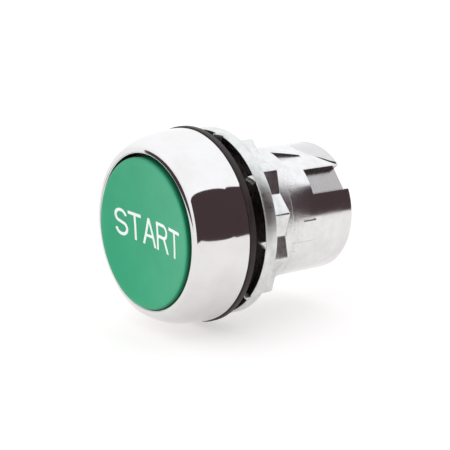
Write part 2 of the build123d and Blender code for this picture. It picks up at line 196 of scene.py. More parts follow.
class Nodes:
    """Short calls for building one material's node tree around its Principled shader."""

    def __init__(self, name, color, roughness, metallic=0.0):
        self.material = bpy.data.materials.new(name)
        self.material.use_nodes = True
        self.tree = self.material.node_tree
        self.shader = self.tree.nodes["Principled BSDF"]
        self.set("Base Color", (*color, 1))
        self.set("Roughness", roughness)
        self.set("Metallic", metallic)
        place = self.node("ShaderNodeTexCoord")
        scale = self.node("ShaderNodeMapping")
        scale.inputs["Scale"].default_value = (1 / MM,) * 3
        self.link(place.outputs["Object"], scale.inputs["Vector"])
        self.where = scale.outputs["Vector"]

    def set(self, socket, value):
        self.shader.inputs[socket].default_value = value

    def node(self, kind, **settings):
        made = self.tree.nodes.new(kind)
        for key, value in settings.items():
            setattr(made, key, value)
        return made

    def link(self, a, b):
        self.tree.links.new(a, b)

    def stretched(self, factors):
        """The object coordinates, in millimetres, scaled by these factors."""
        scale = self.node("ShaderNodeMapping")
        scale.inputs["Scale"].default_value = factors
        self.link(self.where, scale.inputs["Vector"])
        return scale.outputs["Vector"]

    def noise(self, size, detail=3.0, rough=0.55, where=None):
        """Noise whose features are about size millimetres."""
        made = self.node("ShaderNodeTexNoise")
        made.inputs["Scale"].default_value = 1 / size
        made.inputs["Detail"].default_value = detail
        made.inputs["Roughness"].default_value = rough
        self.link(where or self.where, made.inputs["Vector"])
        return made.outputs["Fac"]

    def remap(self, value, low, high, to_low, to_high):
        made = self.node("ShaderNodeMapRange")
        for socket, number in zip(MAP_RANGE_SOCKETS, (low, high, to_low, to_high)):
            made.inputs[socket].default_value = number
        self.link(value, made.inputs["Value"])
        return made.outputs["Result"]

    def math(self, kind, a, b=0.5):
        made = self.node("ShaderNodeMath", operation=kind)
        for socket, value in zip(made.inputs, (a, b)):
            if isinstance(value, (int, float)):
                socket.default_value = value
            else:
                self.link(value, socket)
        return made.outputs[0]

    def mix(self, factor, a, b):
        """Colour a where factor is 0 and b where it is 1."""
        made = self.node("ShaderNodeMix", data_type="RGBA")
        self.link(factor, made.inputs["Factor"])
        for socket, value in ((made.inputs["A"], a), (made.inputs["B"], b)):
            if isinstance(value, tuple):
                socket.default_value = (*value, 1)
            else:
                self.link(value, socket)
        return made.outputs["Result"]

    def bump(self, height, depth, strength=1.0):
        """Height, from 0 to 1, as bumps this many millimetres deep, added to those made before."""
        made = self.node("ShaderNodeBump")
        made.inputs["Distance"].default_value = depth * MM
        made.inputs["Strength"].default_value = strength
        self.link(height, made.inputs["Height"])
        before = self.shader.inputs["Normal"].links
        if before:
            self.link(before[0].from_socket, made.inputs["Normal"])
        self.link(made.outputs["Normal"], self.shader.inputs["Normal"])

    def along_axis(self):
        """The place along the button's axis, in millimetres."""
        split = self.node("ShaderNodeSeparateXYZ")
        self.link(self.where, split.inputs["Vector"])
        return split.outputs["Y"]

    def off_axis(self, height=0.0):
        """Distance from the button's axis, or from a line this high above it, in millimetres."""
        flat = self.node("ShaderNodeMapping")
        flat.inputs["Scale"].default_value = (1.0, 0.0, 1.0)
        flat.inputs["Location"].default_value = (0.0, 0.0, -height)
        self.link(self.where, flat.inputs["Vector"])
        across = self.node("ShaderNodeVectorMath", operation="LENGTH")
        self.link(flat.outputs["Vector"], across.inputs[0])
        return across.outputs["Value"]

    def past_plane(self, normal, offset, width):
        """0 before a plane given in millimetres, 1 from this far behind it."""
        across = self.node("ShaderNodeVectorMath", operation="DOT_PRODUCT")
        self.link(self.where, across.inputs[0])
        across.inputs[1].default_value = normal
        return self.remap(across.outputs["Value"], offset, offset + width, 0.0, 1.0)


def bezel_chrome():
    """Polished chrome plate: faint waviness from polishing, hairlines, and haze in patches."""
    m = Nodes("bezel_chrome", (0.73, 0.715, 0.71), 0.06, 1.0)
    haze = m.noise(5.0, 4.0)
    m.link(m.remap(haze, 0.35, 0.7, 0.035, 0.085), m.shader.inputs["Roughness"])
    m.bump(m.noise(3.2, 1.0), 0.004)
    hairs = m.noise(0.25, 2.0, where=m.stretched((1.0, 9.0, 1.0)))
    m.bump(hairs, 0.0004)
    m.bump(m.noise(0.55, 3.0), 0.0011)
    m.link(m.mix(m.remap(haze, 0.4, 0.75, 0.0, 1.0), (0.745, 0.735, 0.735), (0.69, 0.675, 0.67)),
           m.shader.inputs["Base Color"])
    return m.material


def barrel_chrome():
    """Satin chrome over a die casting: grain and specks, strongest beside the thread, soft haze, rougher
    slots and pockets, and painted shade in the slots and pockets and on the sleeve behind the groove."""
    m = Nodes("barrel_chrome", (0.72, 0.71, 0.71), 0.14, 1.0)
    grain = m.noise(0.22, 3.0, 0.7)
    near_thread = m.remap(m.along_axis(), THREAD_END, THREAD_END + 4.8, 1.0, 0.08)
    m.bump(m.math("MULTIPLY", grain, near_thread), 0.035)
    m.bump(m.noise(2.6, 2.0), 0.01)
    patch = m.noise(1.7, 4.0)
    rough = m.math("MULTIPLY", near_thread, 0.16)
    shaded_recess = m.remap(m.off_axis(), SLEEVE_R - 0.5, SLEEVE_R - 0.08, 1.0, 0.0)
    rough = m.math("ADD", rough, m.math("MULTIPLY", shaded_recess, 0.12))
    m.link(m.math("ADD", rough, m.remap(patch, 0.3, 0.7, 0.09, 0.16)), m.shader.inputs["Roughness"])
    plate = m.mix(m.remap(patch, 0.35, 0.75, 0.0, 1.0), (0.75, 0.745, 0.745), (0.67, 0.66, 0.66))
    speck = m.math("MULTIPLY", m.remap(m.noise(0.24, 4.0, 0.7), 0.54, 0.66, 0.0, 0.6), near_thread)
    speck = m.math("MULTIPLY", speck, m.remap(m.along_axis(), THREAD_END - 0.1, THREAD_END, 0.1, 1.0))
    plate = m.mix(speck, plate, (0.38, 0.35, 0.355))
    side = math.radians(GROOVE_AT)
    normal = (math.cos(side), GROOVE_SLOPE, math.sin(side))
    # painted shade: the sleeve behind the slanted groove is coloured greyer
    behind = m.past_plane(normal, SLEEVE_R + GROOVE_SLOPE * GROOVE_START, 0.3)
    plate = m.mix(m.math("MULTIPLY", behind, 0.6), plate, (0.50, 0.485, 0.49))
    # painted shade: everything inside the sleeve radius, the slots and pockets among it, is coloured darker
    m.link(m.mix(shaded_recess, plate, (0.42, 0.40, 0.405)), m.shader.inputs["Base Color"])
    return m.material


def nut_zinc():
    """Bright zinc die casting: sandy grain, patchy shine, and painted shade darkening the face between the
    teeth.
    """
    m = Nodes("nut_zinc", (0.70, 0.71, 0.70), 0.2, 1.0)
    patch = m.noise(1.6, 4.0)
    flange = m.remap(m.off_axis(), NUT_POINT_R, NUT_POINT_R + 0.3, 0.0, 0.13)
    m.link(m.math("ADD", flange, m.remap(patch, 0.3, 0.7, 0.13, 0.27)), m.shader.inputs["Roughness"])
    zinc = m.mix(m.remap(patch, 0.35, 0.7, 0.0, 1.0), (0.72, 0.73, 0.72), (0.60, 0.61, 0.60))
    # painted shade: the face between the teeth is coloured almost black, standing in for shadow
    face = m.math("LESS_THAN", m.math("ABSOLUTE", m.math("SUBTRACT", m.along_axis(), NUT_FACE)), 0.03)
    m.link(m.mix(face, zinc, (0.12, 0.095, 0.09)), m.shader.inputs["Base Color"])
    m.bump(m.noise(0.16, 4.0, 0.65), 0.02)
    m.bump(m.noise(1.1, 2.0), 0.015)
    return m.material


def rubber(name, color, shine):
    """Moulded rubber: fine matt grain, dust that lightens it in patches."""
    m = Nodes(name, color, shine)
    m.set("Specular IOR Level", 0.3)
    grain = m.noise(0.12, 3.0, 0.6)
    patch = m.noise(2.2, 3.0)
    m.link(m.remap(patch, 0.3, 0.75, shine - 0.08, shine + 0.1), m.shader.inputs["Roughness"])
    dusty = tuple(c * 1.5 + 0.012 for c in color)
    m.link(m.mix(m.remap(patch, 0.45, 0.8, 0.0, 0.7), color, dusty), m.shader.inputs["Base Color"])
    m.bump(grain, 0.01)
    return m.material


def cap_green():
    """Semi-gloss moulded plastic: fine grain, slightly uneven colour, and painted shade darkening its edge and
    side wall.
    """
    m = Nodes("cap_green", (0.05, 0.42, 0.22), 0.34)
    m.set("Specular IOR Level", 0.2)
    m.set("Coat Weight", 0.02)
    m.set("Coat Roughness", 0.18)
    cloud = m.noise(4.0, 2.0)
    face = m.mix(m.remap(cloud, 0.3, 0.7, 0.0, 1.0), (0.034, 0.372, 0.19), (0.042, 0.40, 0.21))
    # painted shade: the cap's rounded edge and side wall are coloured darker green, standing in for shadow
    edge = m.remap(m.off_axis(CAP_Z), CAP_R - 0.3, CAP_R - 0.05, 0.0, 1.0)
    m.link(m.mix(edge, face, (0.008, 0.16, 0.075)), m.shader.inputs["Base Color"])
    m.link(m.remap(m.noise(0.5, 4.0), 0.3, 0.7, 0.3, 0.4), m.shader.inputs["Roughness"])
    m.bump(m.noise(0.09, 2.0, 0.5), 0.0025)
    return m.material


def plastic(name, color, roughness, grain_depth=0.006, shift=0.12):
    """Moulded plastic with a fine grain and slight flow marks."""
    m = Nodes(name, color, roughness)
    cloud = m.noise(2.5, 3.0)
    darker = tuple(c * (1 - shift) for c in color)
    m.link(m.mix(m.remap(cloud, 0.3, 0.7, 0.0, 1.0), color, darker), m.shader.inputs["Base Color"])
    m.link(m.remap(cloud, 0.3, 0.7, roughness - 0.05, roughness + 0.07), m.shader.inputs["Roughness"])
    m.bump(m.noise(0.11, 3.0, 0.6), grain_depth)
    return m.material


def steel(name, color, roughness, streak=(1.0, 6.0, 1.0)):
    """Bright or blackened steel with drawing marks and patchy shine."""
    m = Nodes(name, color, roughness, 1.0)
    patch = m.noise(0.9, 4.0)
    m.link(m.remap(patch, 0.3, 0.7, roughness - 0.06, roughness + 0.1), m.shader.inputs["Roughness"])
    darker = tuple(c * 0.8 for c in color)
    m.link(m.mix(m.remap(patch, 0.4, 0.75, 0.0, 1.0), color, darker), m.shader.inputs["Base Color"])
    m.bump(m.noise(0.2, 3.0, where=m.stretched(streak)), 0.004)
    return m.material


MATERIALS = {
    "bezel_chrome": bezel_chrome(),
    "barrel_chrome": barrel_chrome(),
    "nut_zinc": nut_zinc(),
    "gasket_rubber": rubber("gasket_rubber", (0.03, 0.02, 0.02), 0.5),
    "seal_rubber": rubber("seal_rubber", (0.018, 0.018, 0.02), 0.55),
    "cap_green": cap_green(),
    "legend_white": plastic("legend_white", (0.93, 0.98, 0.95), 0.35, 0.003, 0.03),
    "guide_plastic": plastic("guide_plastic", (0.03, 0.03, 0.033), 0.42),
    "plunger_plastic": plastic("plunger_plastic", (0.72, 0.70, 0.64), 0.4),
    "bush_plastic": plastic("bush_plastic", (0.35, 0.29, 0.18), 0.38),
    "spring_steel": steel("spring_steel", (0.62, 0.62, 0.64), 0.25),
    "clip_steel": steel("clip_steel", (0.14, 0.135, 0.13), 0.38),
    "screw_steel": steel("screw_steel", (0.72, 0.73, 0.75), 0.24),
}


def refinish_cad_nodes():
    """Every CAD node that is shown as it is gets the material of its slot."""
    for row in frame["record"]["subparts"]:
        obj = frame["nodes"][row["node"]]
        obj.data.materials.clear()
        obj.data.materials.append(MATERIALS[row["material_slot"]])
        for polygon in obj.data.polygons:
            polygon.material_index = 0


# ------------------------------------------------------------------ bezel
def bezier(a, b, c, d, steps):
    """Points of a cubic curve, without its last."""
    t = np.arange(steps)[:, None] / steps
    a, b, c, d = map(np.array, (a, b, c, d))
    curve = a * (1 - t) ** 3 + 3 * b * t * (1 - t) ** 2 + 3 * c * t ** 2 * (1 - t) + d * t ** 3
    return [tuple(p) for p in curve]


def make_bezel():
    """Chromed ring: a lip whose face slopes outwards, then a shoulder that swells to the back in one curve."""
    front, back, outer = BEZEL_LOW.y, BEZEL_HIGH.y, BEZEL_HIGH.x
    lip_outer, shoulder_r, shoulder_run = LIP_R + 0.81, outer - 0.17, 2.59
    ease, seat_r, seat_front = 0.445, 13.32, -7.6
    run = back - front - shoulder_run
    rise = shoulder_r - lip_outer
    face_r, inner_slope, face_slope = LIP_R + 0.23, 0.09, 0.27
    face_run = lip_outer - face_r
    face_drop = face_run * (inner_slope + face_slope) / 2
    steepening = (face_slope - inner_slope) / 2
    face = [(face_r + face_run * t, front + face_run * (inner_slope * t + steepening * t * t))
            for t in np.linspace(0, 0.9, 10)]
    shoulder = bezier(
        (lip_outer, front + face_drop),
        (lip_outer + 0.9 * ease * rise, front + face_drop + 0.9 * ease * rise * face_slope),
        (shoulder_r, back - shoulder_run - ease * run),
        (shoulder_r, back - shoulder_run),
        56,
    )
    flank = [(shoulder_r + (outer - shoulder_r) * (1 - (1 - t) ** 2), back - shoulder_run * (1 - t))
             for t in np.linspace(0, 0.9, 10)]
    rest = rounded([
        (outer, back, 0.22),
        (seat_r, back, 0.1),
        (seat_r, seat_front, 0.1),
        (LIP_R, seat_front, 0.1),
        (LIP_R, front + 0.12, 0.1),
        (LIP_R + 0.17, front + 0.012, 0.16),
    ], 8)
    return lathe("bezel", face + shoulder + flank + rest, "head", MATERIALS["bezel_chrome"],
                 320, 40, ("bezel_ring",))


# ------------------------------------------------------------------ cap and legend
DISH_R = 10.7
DISH_DEPTH = 1.15
DISH_SPHERE = (DISH_R ** 2 + DISH_DEPTH ** 2) / (2 * DISH_DEPTH)


def dish_y(radius):
    """Y of the dished face at a distance from the axis."""
    return CAP_FRONT + DISH_DEPTH - (DISH_SPHERE - np.sqrt(DISH_SPHERE ** 2 - np.square(radius)))


def make_cap():
    """Green cap: dished face, a narrow flat rim, a rounded edge and an open skirt."""
    edge, skirt_in, plate_front = 0.35, 9.7, -8.3
    face = [(r, float(dish_y(r))) for r in np.linspace(0, DISH_R - 0.1, 32)]
    rim = [(DISH_R + 0.06, CAP_FRONT + 0.004), (CAP_R - edge, CAP_FRONT)]
    corner = [(CAP_R - edge + edge * math.sin(a), CAP_FRONT + edge - edge * math.cos(a))
              for a in np.linspace(0.15, math.pi / 2, 12)]
    skirt = rounded([
        (CAP_R, CAP_HIGH.y, 0.12),
        (skirt_in, CAP_HIGH.y, 0.12),
        (skirt_in, plate_front, 0.3),
    ])
    outline = face + rim + corner + skirt + [(0, plate_front)]
    cap = lathe("cap", outline, "button", MATERIALS["cap_green"], 256, 40, ("button_cap",))
    return shifted(cap, CAP_Z)


STROKE = 0.47
LETTER_H = 4.08
LETTER_GAP = 0.23
LEAN = 0.13
LEGEND_TILT = math.radians(-3.6)
LEGEND_X, LEGEND_Z = 0.5, 0.22
LEGEND_PROUD, LEGEND_ROOT = 0.02, 0.3


def arc(cx, cy, rx, ry, start, end, steps=18):
    """Points of an elliptical arc, angles in degrees."""
    return [(cx + rx * math.cos(math.radians(a)), cy + ry * math.sin(math.radians(a)))
            for a in np.linspace(start, end, steps)]


def ribbon(path, width):
    """Outline of a stroke of constant width along a path."""
    p = np.array(path)
    t = np.gradient(p, axis=0)
    n = np.stack([-t[:, 1], t[:, 0]], 1) / np.linalg.norm(t, axis=1)[:, None] * width / 2
    return [tuple(q) for q in p + n] + [tuple(q) for q in (p - n)[::-1]]


def letter_t(w):
    m, s, h = w / 2, STROKE / 2, LETTER_H
    return [[(0, h), (0, h - 2 * s), (m - s, h - 2 * s), (m - s, 0), (m + s, 0), (m + s, h - 2 * s),
             (w, h - 2 * s), (w, h)]]


def letter_a(w):
    h, m, s = LETTER_H, w / 2, STROKE
    slope = (m - s / 2) / h
    side = s * math.hypot(1, slope)
    low, high = 0.3 * h, 0.3 * h + s * 0.9
    crotch = (m - side) / slope

    def inner(z):
        return slope * z + side

    return [
        [(0, 0), (m - s / 2, h), (m + s / 2, h), (w, 0), (w - side, 0), (w - inner(low), low),
         (inner(low), low), (side, 0)],
        [(inner(high), high), (w - inner(high), high), (m, crotch)],
    ]


def letter_r(w):
    h, s = LETTER_H, STROKE
    bowl = 0.28 * h
    cx, cy = w - bowl - 0.3, h - bowl
    waist = h - 2 * bowl
    outer = [(0, 0), (0, h), (cx, h)] + arc(cx, cy, bowl, bowl, 90, -68, 26)[1:]
    outer += [(w, 0), (w - s * 1.15, 0), (cx - 0.2 * s, waist), (s, waist), (s, 0)]
    inner_r = bowl - s
    hole = [(s, h - s), (cx, h - s)] + arc(cx, cy, inner_r, inner_r, 90, -90, 22)[1:] + [(s, cy - inner_r)]
    return [outer, hole]


def letter_s(w):
    h, s = LETTER_H, STROKE
    rx, ry = w / 2 - s / 2, (h - s) / 4
    top, low = h - s / 2 - ry, s / 2 + ry
    upper = arc(w / 2 - 0.06, top, rx * 0.95, ry, 8, 232, 40)
    lower = arc(w / 2 + 0.03, low, rx * 0.98, ry, 52, -176, 40)
    return [ribbon(upper + lower, s)]


def densify(loop, spacing=0.3):
    """The same closed outline with extra points on its long edges."""
    points = []
    for a, b in zip(loop, loop[1:] + loop[:1]):
        count = max(1, math.ceil(math.dist(a, b) / spacing))
        points += [tuple(np.array(a) + (np.array(b) - np.array(a)) * n / count) for n in range(count)]
    return points


def make_legend():
    """The word on the cap: a white inlay that follows the dish and stands a hair proud of it."""
    word = [(letter_s, 2.9), (letter_t, 3.1), (letter_a, 3.46), (letter_r, 3.3), (letter_t, 3.1)]
    x = -(sum(w for _, w in word) + LETTER_GAP * (len(word) - 1)) / 2
    verts, faces = [], []
    for letter, width in word:
        loops = [densify(loop) for loop in letter(width)]
        flat = [point for loop in loops for point in loop]
        triangles = tessellate_polygon([[Vector((*p, 0)) for p in loop] for loop in loops])
        turned = []
        for u, v in flat:
            v -= LETTER_H / 2
            u += x - LEAN * v
            turned.append((
                LEGEND_X + u * math.cos(LEGEND_TILT) - v * math.sin(LEGEND_TILT),
                LEGEND_Z + u * math.sin(LEGEND_TILT) + v * math.cos(LEGEND_TILT),
            ))
        base, count = len(verts), len(flat)
        surface = [float(dish_y(math.hypot(*p))) for p in turned]
        verts += [(p[0], y - LEGEND_PROUD, p[1]) for p, y in zip(turned, surface)]
        verts += [(p[0], y + LEGEND_ROOT, p[1]) for p, y in zip(turned, surface)]
        faces += [(base + a, base + b, base + c) for a, b, c in triangles]
        faces += [(base + count + c, base + count + b, base + count + a) for a, b, c in triangles]
        start = base
        for loop in loops:
            for n in range(len(loop)):
                a, b = start + n, start + (n + 1) % len(loop)
                faces.append((a, a + count, b + count, b))
            start += len(loop)
        x += width + LETTER_GAP
    obj = add_piece("legend", verts, faces, "button", MATERIALS["legend_white"], 30,
                    ("cap_legend",))
    return shifted(obj, CAP_Z)


def shifted(obj, z):
    """Moves a piece's points up by z millimetres."""
    for vertex in obj.data.vertices:
        vertex.co.z += z * MM
    return obj


def outward(obj):
    """Makes a closed mesh's faces point outwards."""
    mesh = bmesh.new()
    mesh.from_mesh(obj.data)
    bmesh.ops.recalc_face_normals(mesh, faces=mesh.faces)
    mesh.to_mesh(obj.data)
    mesh.free()


# ------------------------------------------------------------------ gasket
def make_gasket():
    """Rubber gasket: a lip under the bezel, then a smaller step whose bead meets the panel."""
    lip_r, step_r, back, lip_t = GASKET_HIGH.x, 13.7, GASKET_LOW.y, 0.95
    inner = 11.42
    outline = rounded([
        (inner, back, 0.05),
        (lip_r, back, 0.18),
        (lip_r, back + lip_t, 0.22),
        (step_r + 0.35, back + lip_t, 0.1),
        (step_r - 0.1, back + lip_t + 0.12, 0.08),
        (step_r, GASKET_HIGH.y, 0.14),
        (step_r - 0.75, GASKET_HIGH.y, 0.1),
        (step_r - 0.95, GASKET_HIGH.y - 0.18, 0.08),
        (inner + 0.5, GASKET_HIGH.y - 0.18, 0.08),
        (inner, GASKET_HIGH.y - 0.1, 0.05),
    ])
    return lathe("gasket", outline, "head", MATERIALS["gasket_rubber"], 256, 40,
                 ("panel_gasket",))


# ------------------------------------------------------------------ mounting nut
NUT_POINTS = 12
NUT_PHASE = 12.0
NUT_FLANGE_T = 2.1
NUT_BORE_R = 10.95
TEETH = 9
TOOTH_PHASE = -4.0
TOOTH_ANGLE = 4.6


def point_outline():
    """Outline of the nut's twelve-point rear as (angle, radius), its points and valleys rounded."""
    valley = NUT_POINT_R * math.cos(math.radians(30)) / math.cos(math.radians(15))
    corners = []
    for n in range(2 * NUT_POINTS):
        angle = math.radians(NUT_PHASE + n * 180 / NUT_POINTS)
        radius, fillet = ((NUT_POINT_R, 0.3) if n % 2 == 0 else (valley, 0.12))
        corners.append((radius * math.cos(angle), radius * math.sin(angle), fillet))
    points = np.array(densify(rounded(corners, 5), 0.5))
    angles = np.unwrap(np.arctan2(points[:, 1], points[:, 0]))
    return angles, np.hypot(points[:, 0], points[:, 1])


def nut_body():
    """Points and faces of the nut without its teeth."""
    angles, points_r = point_outline()
    face, rear = NUT_FACE, NUT_HIGH.y
    flange_rear = face + NUT_FLANGE_T
    relief = 0.4

    def circle(radius):
        return np.full_like(angles, radius)

    rows = [(circle(NUT_BORE_R + relief), face), (circle(NUT_HIGH.x - 0.34), face)]
    for t in np.linspace(0, 1, 5):
        rows.append((circle(NUT_HIGH.x - 0.26 * (1 - t) ** 1.3), face + 0.26 * t ** 1.3))
    for t in np.linspace(0, 1, 5):
        rows.append((circle(NUT_HIGH.x - 0.22 * t ** 1.6), flange_rear - 0.22 * (1 - t) ** 1.6))
    ring_in = np.minimum(points_r + 0.14, NUT_HIGH.x - 0.3)
    rows.append((ring_in, flange_rear))
    rows.append((points_r + 0.04, flange_rear + 0.03))
    rows.append((points_r, flange_rear + 0.12))
    crown = np.minimum(points_r, 13.22)
    rows.append((points_r, rear - 0.34))
    for inset, drop in ((0.0, 0.2), (0.05, 0.1), (0.13, 0.03), (0.25, 0.0)):
        rows.append((crown - inset, rear - drop))
    rows += [(circle(NUT_BORE_R + relief), rear), (circle(NUT_BORE_R), rear - relief),
             (circle(NUT_BORE_R), face + relief)]
    verts = around(np.array([r for r, _ in rows]), np.array([y for _, y in rows]), angles)
    return verts.tolist(), grid_faces(len(rows), len(angles), True)


def nut_tooth(centre):
    """One ratchet tooth as points and faces: its tip leans to larger angles and its flanks are eased."""
    inner, outer = 13.2, 14.17
    half = math.radians(TOOTH_ANGLE / 2)
    tip, root = NUT_FACE - TOOTH_HEIGHT, NUT_FACE + 0.15
    profile = [(-half * 1.06, root), (-half * 1.0, NUT_FACE - 0.03), (-half * 0.2, NUT_FACE - 0.36),
               (half * 0.62, tip + 0.08), (half * 0.76, tip), (half * 0.9, tip + 0.02),
               (half * 0.97, tip + 0.12), (half * 1.0, NUT_FACE - 0.3), (half * 1.04, root)]
    verts = []
    for radius, lean in ((inner, 0.12), (inner + 0.1, 0.0), (outer - 0.12, 0.0), (outer, 0.1)):
        for angle, y in profile:
            a = centre + angle
            eased = y + lean * (root - y)
            verts.append((radius * math.cos(a), eased, radius * math.sin(a)))
    count, faces = len(profile), []
    for i in range(3):
        for j in range(count):
            k = (j + 1) % count
            faces.append((i * count + j, (i + 1) * count + j, (i + 1) * count + k, i * count + k))
    faces.append(tuple(range(count)))
    faces.append(tuple(3 * count + n for n in reversed(range(count))))
    return verts, faces


def make_nut():
    verts, faces = nut_body()
    for n in range(TEETH):
        tooth_verts, tooth_faces = nut_tooth(math.radians(TOOTH_PHASE + n * 360 / TEETH))
        base = len(verts)
        verts += tooth_verts
        faces += [tuple(base + v for v in face) for face in tooth_faces]
    return add_piece("ring_nut", verts, faces, "nut", MATERIALS["nut_zinc"], 28,
                     ("mounting_nut",))


# ------------------------------------------------------------------ barrel
THREAD_PITCH = 1.5
THREAD_R = 10.9
THREAD_DEPTH = 0.6
BORE_R = 8.2
UNDERCUT = 0.38
NICK_AT, SLOT_AT, POCKET_AT, PARTING_LINE_AT = 2.6, 38, 68, -16


def step(x, width):
    """0 below 0, 1 above width, smooth between."""
    t = np.clip(x / width, 0, 1)
    return t * t * (3 - 2 * t)


def angle_from(angles, degrees):
    """Signed angle from a direction about the axis, in radians."""
    return (angles - math.radians(degrees) + math.pi) % TAU - math.pi


def thread_radius(y, angles):
    """Right-hand V thread with flat crest and root, that runs out into the collar behind it."""
    turn = (y - NECK_END) / THREAD_PITCH + angles / TAU
    phase = np.abs(turn - np.floor(turn) - 0.5) * 2
    groove = np.clip((0.62 - phase) / 0.46, 0, 1)
    runs = step(y - NECK_END, 0.5) * (1 - step(y - 7.9, 0.6))
    return THREAD_R - THREAD_DEPTH * groove * runs


def groove_depth(y, angles):
    """Shallow groove where a slanted plane meets the sleeve, with the sleeve a little lower behind it."""
    width, depth, lower = 0.32, 0.24, 0.09
    facing = np.cos(angle_from(angles, GROOVE_AT))
    behind = SLEEVE_R * facing - (SLEEVE_R - GROOVE_SLOPE * (y - GROOVE_START))
    groove = np.where(np.abs(behind - width / 2) < width / 2, np.sin(np.pi * behind / width) ** 2, 0)
    beyond = lower * step(behind, width) * (1 - step(y - 21.2, 0.9))
    return np.where(facing > 0.3, depth * groove + beyond, 0)


def casting_line(y, angles):
    """Faint parting line of the casting, along the sleeve."""
    depth, half_width = 0.03, 0.09
    line = depth * step(half_width - np.abs(SLEEVE_R * angle_from(angles, PARTING_LINE_AT)), 0.06)
    return line * step(y - THREAD_END - 0.1, 0.2) * (1 - step(y - 14.5, 2.0))


def sleeve_radius(y, angles):
    return SLEEVE_R - groove_depth(y, angles) - casting_line(y, angles)


def barrel_columns():
    """Angles round the barrel, closer together over the groove and the parting line."""
    everywhere = np.arange(0, 360, 1.0)
    over_groove = np.arange(40, 120, 0.5)
    over_line = np.arange(343, 345, 0.16)
    angles = np.concatenate([everywhere, over_groove, over_line])
    return np.radians(np.unique(np.round(angles, 3)))


def turned_solid(points, centre):
    """A convex cutter from (x, y, z) points drawn about +X, turned to an angle about the axis."""
    a = math.radians(centre)
    points = np.array(points, float)
    x = points[:, 0] * math.cos(a) - points[:, 2] * math.sin(a)
    z = points[:, 0] * math.sin(a) + points[:, 2] * math.cos(a)
    return np.stack([x, points[:, 1], z], 1)


def prism(front, rear):
    """Points and faces of a solid between two outlines of the same number of points."""
    n = len(front)
    faces = [tuple(range(n)), tuple(reversed(range(n, 2 * n)))]
    faces += [(k, n + k, n + (k + 1) % n, (k + 1) % n) for k in range(n)]
    return list(front) + list(rear), faces


def slot_cutter(centre):
    """Coupling slot: flat floor, parallel walls with broken edges, open at the rear."""
    floor, edge, out, half, front = 8.6, 9.86, 11.6, 1.75, 14.9
    flare = half + out - edge
    section = [(floor, -half), (floor, half), (edge, half), (out, flare), (out, -flare)]
    points, faces = prism([(x, front, z) for x, z in section], [(x, BARREL_END + 1, z) for x, z in section])
    return turned_solid(points, centre), faces


def pocket_cutter(centre):
    """Ramp pocket: deep at its upper front corner, level with the sleeve at its lower edge."""
    front, rear, lower, upper, upper_rear = 12.1, 16.4, -1.75, 1.45, -0.4
    fall, rise = 0.16, 0.045
    low_x = math.sqrt(SLEEVE_R ** 2 - lower ** 2)
    plan = [(front, lower), (front, upper), (rear, upper_rear), (rear, lower)]
    ramp = [(low_x - fall * (z - lower) + rise * (y - front), y, z) for y, z in plan]
    points, faces = prism(ramp, [(SLEEVE_R + 1, y, z) for y, z in plan])
    return turned_solid(points, centre), faces


def nick_cutter(centre):
    """Short index slit along the sleeve."""
    floor, out, half, front, rear = SLEEVE_R - 0.3, SLEEVE_R + 1, 0.17, 12.4, 14.8
    section = [(floor, -half), (floor, half), (out, half), (out, -half)]
    points, faces = prism([(x, front, z) for x, z in section], [(x, rear, z) for x, z in section])
    return turned_solid(points, centre), faces


def cut(obj, cutters):
    """Takes solids, given as points and faces in millimetres, out of a piece."""
    verts, faces = [], []
    for points, outline in cutters:
        faces += [tuple(len(verts) + v for v in face) for face in outline]
        verts += [tuple(point) for point in points]
    mesh = bpy.data.meshes.new("cutter")
    mesh.from_pydata((np.array(verts) * MM).tolist(), [], faces)
    tool = bpy.data.objects.new("cutter", mesh)
    bpy.context.scene.collection.objects.link(tool)
    outward(tool)
    modifier = obj.modifiers.new("cut", "BOOLEAN")
    modifier.operation, modifier.solver, modifier.object = "DIFFERENCE", "EXACT", tool
    graph = bpy.context.evaluated_depsgraph_get()
    result = bpy.data.meshes.new_from_object(obj.evaluated_get(graph))
    obj.modifiers.clear()
    obj.data = result
    bpy.data.objects.remove(tool)


